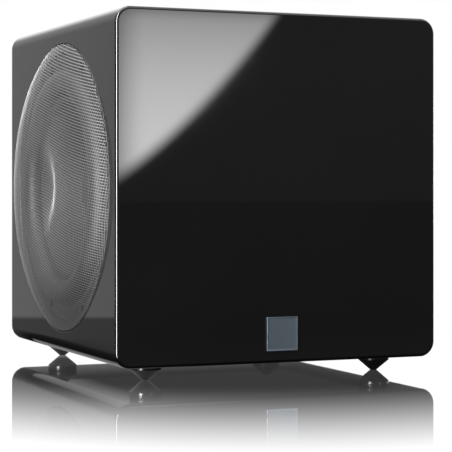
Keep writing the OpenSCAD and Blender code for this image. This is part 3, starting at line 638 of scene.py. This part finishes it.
def surround_outline():
    """The half roll with its two glued lips, measured from the back of the lips."""
    inner = arc(ROLL_R, 0, ROLL_INNER, 180, 0, 18)
    outer = arc(ROLL_R, 0, ROLL_OUTER, LIP_ANGLE, 180 - LIP_ANGLE, 18)
    rim = [(SURROUND_OUT, 0), (SURROUND_OUT, LIP_T * 0.8), (SURROUND_OUT - LIP_T * 0.3, LIP_T)]
    lip = [(SURROUND_IN + LIP_T * 0.3, LIP_T), (SURROUND_IN, LIP_T * 0.8), (SURROUND_IN, 0)]
    return inner + rim + outer + lip


def spider_outline():
    """The corrugated cloth ring with its flat inner and outer lips, measured from its back."""
    waves = []
    for i in range(65):
        r = WAVE_IN + (WAVE_OUT - WAVE_IN) * i / 64
        waves.append((r, WAVE_H * math.sin(2 * math.pi * WAVES * i / 64)))
    front = [(SPIDER_IN, 0)] + waves + [(SPIDER_OUT, 0)]
    back = [(r, h - SPIDER_T) for r, h in reversed(front)]
    return front + back


def sector(name, outline, start):
    """One closed sector of a turned part, round the upright axis at the origin."""
    fresh()
    bpy.ops.mesh.primitive_plane_add(size=1)
    piece = new_piece(name)
    piece.data.clear_geometry()
    points = [(r * math.cos(start), r * math.sin(start), h) for r, h in outline]
    piece.data.from_pydata(points, [], [tuple(range(len(points)))])
    hold(piece)
    bpy.ops.object.mode_set(mode="EDIT")
    bpy.ops.mesh.select_all(action="SELECT")
    bpy.ops.mesh.spin(steps=8, angle=SECTOR_TURN, center=(0, 0, 0), axis=(0, 0, 1))
    bpy.ops.mesh.select_all(action="SELECT")
    bpy.ops.mesh.remove_doubles(threshold=1e-6)
    bpy.ops.mesh.normals_make_consistent(inside=False)
    bpy.ops.object.mode_set(mode="OBJECT")
    return piece


def build_soft_ring(node, outline, place, side, material):
    """A ring of soft sectors round the driver's axis."""
    centre = Vector((side * place, MOUTH_Y, MOUTH_Z))
    turn = Vector((side, 0, 0)).to_track_quat("Z", "Y")
    for i in range(SECTORS):
        start = i * SECTOR_TURN
        piece = sector(f"{node}_sector_{i + 1}", outline, start)
        piece.rotation_euler = turn.to_euler()
        piece.location = centre
        bpy.ops.object.transform_apply(location=True, rotation=True)
        smooth(piece, 40)
        dress(piece, material, body=None, replaces=(node,))
        spots = [vertex.co for vertex in piece.data.vertices]
        out = sum(spots, Vector()) / len(spots) - centre
        out.x = 0
        out.normalize()
        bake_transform(piece)


def build_driver_soft_parts(word, side):
    build_soft_ring(word + "_surround", surround_outline(), surround_low.x, side,
                    SURROUND)
    build_soft_ring(word + "_spider", spider_outline(), SPIDER_FACE, side,
                    CLOTH)


# ---- moulded and machined hardware ----

HARDWARE = {
    "amp_panel": (0.4, COAT, "amp_plate"), "control_fascia": (0.4, FASCIA, "fascia_gloss"),
    "panel_screws": (0.15, BLACK_STEEL, "black_steel"),
    "phono_barrels": (0.15, GOLD, "phono_gold"),
    "phono_insulators": (0.1, PHONO_RED, "phono_insert"),
    "trigger_socket": (0.15, SOCKET, "socket_plastic"),
    "mains_inlet": (0.4, SOCKET, "socket_plastic"), "inlet_pins": (0.2, ZINC, "zinc_steel"),
    "switch_housing": (0.3, SOCKET, "socket_plastic"),
    "power_rocker": (0.3, ROCKER, "rocker_plastic"),
}


def soften_hardware(node, width, material):
    """A copy of a CAD part with its edges broken, on the body of its own node."""
    piece = bpy.data.objects.new(node + "_finished", nodes[node].data.copy())
    bpy.context.scene.collection.objects.link(piece)
    hold(piece)
    bpy.ops.object.mode_set(mode="EDIT")
    bpy.ops.mesh.select_all(action="SELECT")
    bpy.ops.mesh.remove_doubles(threshold=1e-5)
    bpy.ops.mesh.dissolve_limited(angle_limit=math.radians(2))
    bpy.ops.object.mode_set(mode="OBJECT")
    soften(piece, width * MM, 2, 35)
    dress(piece, material, body=BODY_OF[node], replaces=(node,))


# ---- carried-over parts ----

CAD_FINISHES = {
    "internal_brace": BOARD, "foot_studs": ZINC, "driver_screws": BLACK_STEEL,
    "left_grille_ring": SOCKET, "right_grille_ring": SOCKET, "amp_panel": COAT,
    "amp_seal": FOAM, "panel_screws": BLACK_STEEL, "heat_sink": ALUMINIUM,
    "circuit_board": LAMINATE, "board_parts": CASES, "speaker_leads": SLEEVE,
    "control_fascia": FASCIA, "status_lights": LIGHT, "phono_barrels": GOLD,
    "phono_insulators": PHONO_RED, "trigger_socket": SOCKET, "mains_inlet": SOCKET,
    "inlet_pins": ZINC, "fuse_drawer": SOCKET, "switch_housing": SOCKET, "power_rocker": ROCKER,
}
for index in range(1, 6):
    CAD_FINISHES[f"button_{index}"] = BUTTON
for word in ("left", "right"):
    CAD_FINISHES.update({
        word + "_basket": CAST, word + "_gasket": FOAM, word + "_surround": SURROUND,
        word + "_cone": CONE, word + "_dust_cap": CONE, word + "_voice_coil": COPPER,
        word + "_spider": CLOTH, word + "_top_plate": STEEL, word + "_magnet": FERRITE,
        word + "_yoke": STEEL,
    })


def finish_cad_nodes():
    for name, material in CAD_FINISHES.items():
        mesh = nodes[name].data
        mesh.materials.clear()
        mesh.materials.append(material)


# ---- studio ----

CAMERA_AT = (-0.5366, -1.2525, 0.1443)
VIEW_TURN = math.radians(22.077)
LENS, SENSOR = 130.79, 36
SHIFT_X, SHIFT_Y = 0.1026, -0.0839
WALL_BACK, WALL_FRONT, CEILING = 0.48, 0.2, 2.0
TABLE_FRONT, TABLE_BACK = 0.115, 0.18
TABLE_EDGE, TABLE_CORNER = 0.5, 0.15
PANEL_AT, PANEL_HEIGHT, PANEL_SLANT, PANEL_BEND = 0.4288, 0.0623, 1.012, 2.9
PANEL_LEFT, PANEL_RIGHT, PANEL_TOP = (0.342, 0.3835), (0.7, 0.8), (0.108, 0.130)
PANEL_EDGE = 0.008
PANEL_GLOW, PANEL_LEAST, PANEL_DROP = 14.0, 3.0, 550.0
STRIP_WAY, STRIP_SIDE = (-0.804, -0.595, 0), (-0.595, 0.804, 0)
STRIP_HALF, STRIP_SOFT = 0.07, 0.11
LEFT_GLOW, LEFT_RISE, LEFT_HALF = 70.0, 0.1, 0.9
POOL_TURN = math.radians(22.077)
POOL_NEAR, POOL_FULL, POOL_FAR = -0.462, -0.160, 0.02
POOL_HALF = 0.2
UNDER_GLOW = 0.36


def along_floor(tree, place, turn):
    """Distance over the floor in one direction, turned from straight back towards the right."""
    dot = tree.nodes.new("ShaderNodeVectorMath")
    dot.operation = "DOT_PRODUCT"
    dot.inputs[1].default_value = (math.sin(turn), math.cos(turn), 0)
    link(tree, place, dot.inputs[0])
    return dot.outputs["Value"]


def build_floor():
    """A pale floor with a polished pool round the object, fading towards the front.

    The object itself reflects a dark, faintly glowing table top that ends a little behind it, with a
    painted shadow round the cabinet's footprint and a painted glow just inside its left edge.
    """
    fresh()
    bpy.ops.mesh.primitive_plane_add(size=30, location=(0, 0, 0))
    floor = new_piece("floor")
    material = bpy.data.materials.new("polished_floor")
    material.use_nodes = True
    tree = material.node_tree
    tree.nodes.clear()
    output = tree.nodes.new("ShaderNodeOutputMaterial")
    place = tree.nodes.new("ShaderNodeTexCoord").outputs["Object"]
    axes = tree.nodes.new("ShaderNodeSeparateXYZ")
    link(tree, place, axes.inputs[0])
    x, y = axes.outputs[0], axes.outputs[1]

    depth, aside = along_floor(tree, place, POOL_TURN), along_floor(
        tree, place, POOL_TURN + math.pi / 2)
    bow = math_node(tree, "SUBTRACT", aside, 0.02)
    bow = math_node(tree, "MULTIPLY", math_node(tree, "MULTIPLY", bow, bow), 1.95)
    fade = ramp(tree, math_node(tree, "SUBTRACT", depth, bow), POOL_NEAR, POOL_FULL,
                0.0, math.pi / 2)
    share = math_node(tree, "MULTIPLY", math_node(tree, "SINE", fade), 0.97)
    share = math_node(tree, "MULTIPLY", share, soft_box(tree, POOL_FAR, POOL_FAR + 0.15, depth))
    mirror_share = math_node(tree, "MULTIPLY", share, soft_box(
        tree, POOL_HALF, POOL_HALF + 0.1, math_node(tree, "ABSOLUTE", aside)))
    white = tree.nodes.new("ShaderNodeEmission")
    mirror = tree.nodes.new("ShaderNodeBsdfGlossy")
    mirror.inputs["Roughness"].default_value = 0.03
    mirror.inputs["Color"].default_value = (1, 1, 1, 1)
    seen = tree.nodes.new("ShaderNodeMixShader")
    link(tree, mirror_share, seen.inputs[0])
    link(tree, white.outputs[0], seen.inputs[1])
    link(tree, mirror.outputs[0], seen.inputs[2])

    edge = math_node(tree, "SUBTRACT", y, math_node(tree, "MULTIPLY", x, 0.43))
    near = ramp(tree, edge, TABLE_EDGE + 0.08, TABLE_EDGE + 0.16, 1.0, 0.0, True)
    left = ramp(tree, x, -TABLE_CORNER - 0.03, -TABLE_CORNER, 1.0, 0.0, True)
    front = ramp(tree, y, -TABLE_CORNER - 0.03, -TABLE_CORNER, 1.0, 0.0, True)
    corner = math_node(tree, "MULTIPLY", left, front)
    table = math_node(tree, "MULTIPLY", near, math_node(tree, "SUBTRACT", 1.0, corner))
    beyond = math_node(tree, "MAXIMUM",
                       math_node(tree, "SUBTRACT", math_node(tree, "ABSOLUTE", x), HALF_W),
                       math_node(tree, "SUBTRACT", math_node(tree, "ABSOLUTE", y), REAR_Y))
    # painted shadow: the table top's glow falls to 0.08 right next to the cabinet's footprint
    shadow = ramp(tree, beyond, 0.0, 0.13, 0.08, 1.0, True)
    top = tree.nodes.new("ShaderNodeEmission")
    glow = math_node(tree, "MULTIPLY", shadow, ramp(tree, y, -0.5, 0.1, TABLE_FRONT, TABLE_BACK))
    # painted light: a glow just inside the footprint's edge, strongest at the left, that lightens the
    # cabinet's underside where it reflects the floor
    painted_under_glow = math_node(tree, "MULTIPLY", ramp(tree, beyond, -0.006, 0.0, UNDER_GLOW, 0.0),
                      ramp(tree, x, -0.11, -0.06, 1.0, 0.03))
    glow = math_node(tree, "ADD", glow, painted_under_glow)
    link(tree, glow, top.inputs["Strength"])
    reflected = tree.nodes.new("ShaderNodeMixShader")
    link(tree, table, reflected.inputs[0])
    link(tree, tree.nodes.new("ShaderNodeBsdfTransparent").outputs[0], reflected.inputs[1])
    link(tree, top.outputs[0], reflected.inputs[2])

    both = tree.nodes.new("ShaderNodeMixShader")
    link(tree, tree.nodes.new("ShaderNodeLightPath").outputs["Is Camera Ray"], both.inputs[0])
    link(tree, reflected.outputs[0], both.inputs[1])
    link(tree, seen.outputs[0], both.inputs[2])
    link(tree, both.outputs[0], output.inputs["Surface"])
    floor.data.materials.append(material)


def soft_box(tree, inner, outer, value):
    """1 where value is below inner, falling to 0 at outer."""
    return ramp(tree, value, inner, outer, 1.0, 0.0, True)


def build_world():
    """Pale walls behind, dark ones ahead, a diagonal panel front right, a narrow strip light left."""
    world = bpy.data.worlds.new("studio")
    bpy.context.scene.world = world
    world.use_nodes = True
    tree = world.node_tree
    tree.nodes.clear()
    output = tree.nodes.new("ShaderNodeOutputWorld")
    way = tree.nodes.new("ShaderNodeTexCoord").outputs["Generated"]
    direction = tree.nodes.new("ShaderNodeSeparateXYZ")
    link(tree, way, direction.inputs[0])
    dx, dy, dz = direction.outputs
    back = ramp(tree, dy, -0.1, 0.3, 0.0, 1.0, True)
    right = ramp(tree, dx, -0.1, 0.15, WALL_BACK, 1.0, True)
    climb = ramp(tree, dz, 0.05, 0.35, 1.0, 1.35, True)
    behind = math_node(tree, "MULTIPLY", math_node(tree, "MULTIPLY", back, right), climb)
    ahead = math_node(tree, "MULTIPLY", math_node(tree, "SUBTRACT", 1.0, back),
                      ramp(tree, dz, -0.2, 0.15, WALL_FRONT * 0.7, WALL_FRONT, True))
    room = math_node(tree, "ADD", behind, ahead)
    above = math_node(tree, "MULTIPLY", ramp(tree, dz, 0.35, 0.75, 0.0, 1.0, True), CEILING)
    room = math_node(tree, "MAXIMUM", room, above)

    forward = math_node(tree, "MAXIMUM", math_node(tree, "MULTIPLY", dy, -1.0), 0.05)
    across = math_node(tree, "DIVIDE", dx, forward)
    rise = math_node(tree, "DIVIDE", dz, forward)
    aside = math_node(tree, "SUBTRACT", across, PANEL_AT)
    bend = math_node(tree, "ADD", PANEL_SLANT, math_node(tree, "MULTIPLY", aside, PANEL_BEND))
    line = math_node(tree, "ADD", math_node(tree, "MULTIPLY", aside, bend), PANEL_HEIGHT)
    panel = ramp(tree, math_node(tree, "SUBTRACT", rise, line), -PANEL_EDGE, PANEL_EDGE,
                 0.0, 1.0, True)
    panel = math_node(tree, "MULTIPLY", panel, ramp(tree, across, *PANEL_LEFT, 0.0, 1.0, True))
    panel = math_node(tree, "MULTIPLY", panel, soft_box(tree, *PANEL_RIGHT, across))
    panel = math_node(tree, "MULTIPLY", panel, soft_box(tree, *PANEL_TOP, rise))
    drop = math_node(tree, "MULTIPLY", math_node(tree, "MULTIPLY", rise, rise), PANEL_DROP)
    glow = math_node(tree, "MAXIMUM", math_node(tree, "SUBTRACT", PANEL_GLOW, drop), PANEL_LEAST)
    total = math_node(tree, "ADD", room, math_node(tree, "MULTIPLY", panel, glow))

    shares = []
    for vector in (STRIP_WAY, STRIP_SIDE):
        dot = tree.nodes.new("ShaderNodeVectorMath")
        dot.operation = "DOT_PRODUCT"
        dot.inputs[1].default_value = vector
        link(tree, way, dot.inputs[0])
        shares.append(dot.outputs["Value"])
    facing = math_node(tree, "MAXIMUM", shares[0], 0.05)
    sweep = math_node(tree, "ABSOLUTE", math_node(tree, "DIVIDE", shares[1], facing))
    lift = math_node(tree, "ABSOLUTE", math_node(
        tree, "SUBTRACT", math_node(tree, "DIVIDE", dz, facing), LEFT_RISE))
    left = math_node(tree, "MULTIPLY", soft_box(tree, STRIP_HALF, STRIP_SOFT, sweep),
                     soft_box(tree, LEFT_HALF, LEFT_HALF + 0.1, lift))
    total = math_node(tree, "ADD", total, math_node(tree, "MULTIPLY", left, LEFT_GLOW))

    studio = tree.nodes.new("ShaderNodeBackground")
    studio.inputs["Color"].default_value = (1, 1, 1, 1)
    link(tree, total, studio.inputs["Strength"])
    backdrop = tree.nodes.new("ShaderNodeBackground")
    backdrop.inputs["Color"].default_value = (1, 1, 1, 1)
    both = tree.nodes.new("ShaderNodeMixShader")
    link(tree, tree.nodes.new("ShaderNodeLightPath").outputs["Is Camera Ray"], both.inputs[0])
    link(tree, studio.outputs[0], both.inputs[1])
    link(tree, backdrop.outputs[0], both.inputs[2])
    link(tree, both.outputs[0], output.inputs["Surface"])


def build_light(name, place, size, power, target=(0, 0, 0.14)):
    fresh()
    bpy.ops.object.light_add(type="AREA", location=place)
    light = bpy.context.object
    light.name = name
    light.data.shape = "RECTANGLE"
    light.data.size, light.data.size_y = size
    light.data.energy = power
    light.rotation_euler = (Vector(target) - Vector(place)).to_track_quat("-Z", "Y").to_euler()
    light.visible_camera = False
    return light


def build_camera():
    bpy.ops.object.camera_add(location=CAMERA_AT, rotation=(math.pi / 2, 0, -VIEW_TURN))
    camera = bpy.context.object
    camera.data.sensor_width = SENSOR
    camera.data.lens = LENS
    camera.data.shift_x = SHIFT_X
    camera.data.shift_y = SHIFT_Y
    bpy.context.scene.camera = camera


build_camera()
build_world()
build_floor()
build_light("top_softbox", (-0.5, 0.1, 1.5), (1.2, 1.2), 20)
build_cabinet()
build_badge()
for corner in ("front_left", "front_right", "rear_left", "rear_right"):
    build_foot("foot_" + corner)
flat_sheet = build_mesh_sheet()
for word, side in (("left", -1), ("right", 1)):
    build_grille(word, side, flat_sheet)
    build_driver_soft_parts(word, side)
bpy.data.objects.remove(flat_sheet)
for node, (width, material, slot) in HARDWARE.items():
    soften_hardware(node, width, material)
for index in range(1, 6):
    soften_hardware(f"button_{index}", 0.3, BUTTON)
finish_cad_nodes()
bpy.context.scene.view_settings.view_transform = "Standard"
